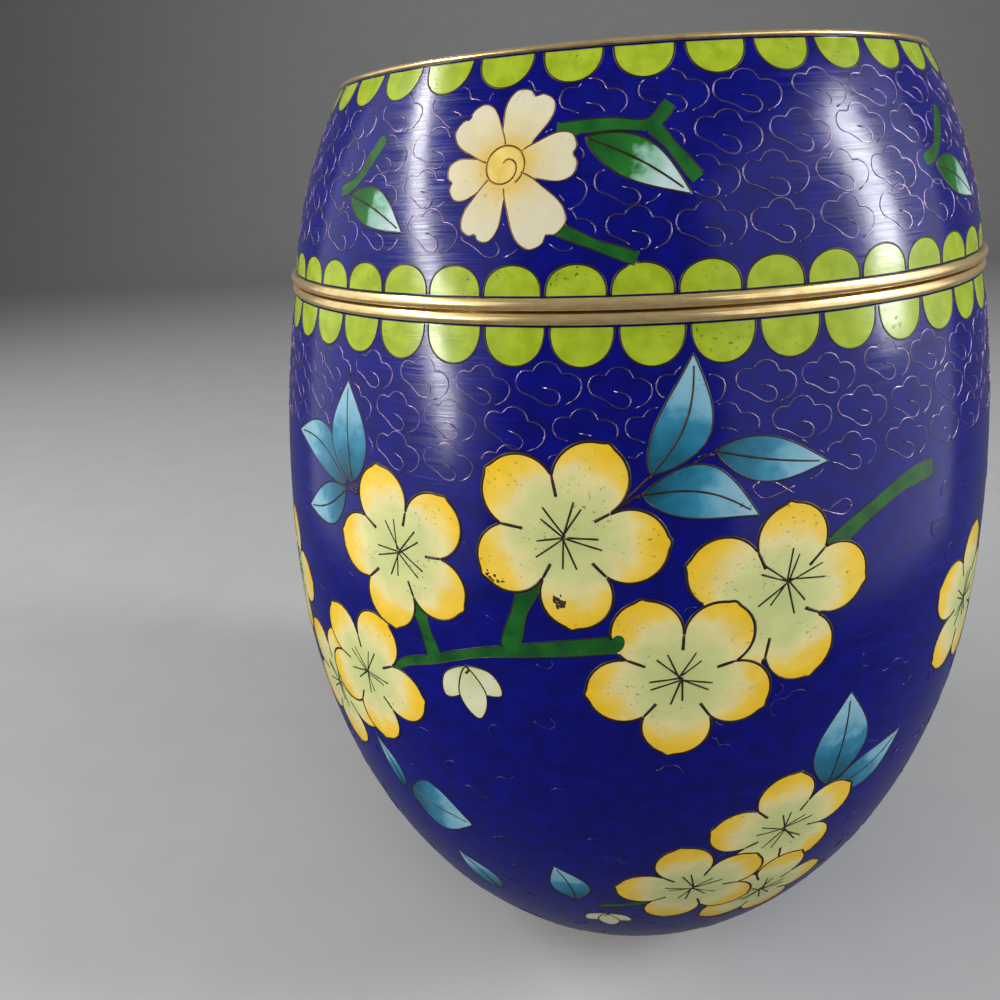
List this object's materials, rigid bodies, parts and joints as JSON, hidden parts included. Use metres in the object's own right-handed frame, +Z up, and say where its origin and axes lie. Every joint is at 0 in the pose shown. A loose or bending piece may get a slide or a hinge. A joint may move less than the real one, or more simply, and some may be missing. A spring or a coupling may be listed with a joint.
{
  "type": "cloisonne enamel box",
  "caption": "Egg-shaped lidded box in cloisonne enamel: a hollow jar on a gilt foot ring, with gilt rims at the seam and a lid that lifts off.",
  "frame": {"origin": "centre of the foot ring's underside, where the box stands", "axes": "+Z up along the axis of revolution; -Y is the decorated side that the picture shows"},
  "size_m": [0.111, 0.111, 0.1459],
  "materials": {
    "enamel": "polished vitreous enamel on copper, flush with its wires",
    "gilt_brass": "gilded and polished, worn"
  },
  "bodies": {
    "root": {"jar_body": "enamel", "jar_rim": "gilt_brass", "foot_ring": "gilt_brass", "lid_shell": "enamel", "lid_rim": "gilt_brass", "shoulder_ring": "gilt_brass"}
  },
  "joints": []
}
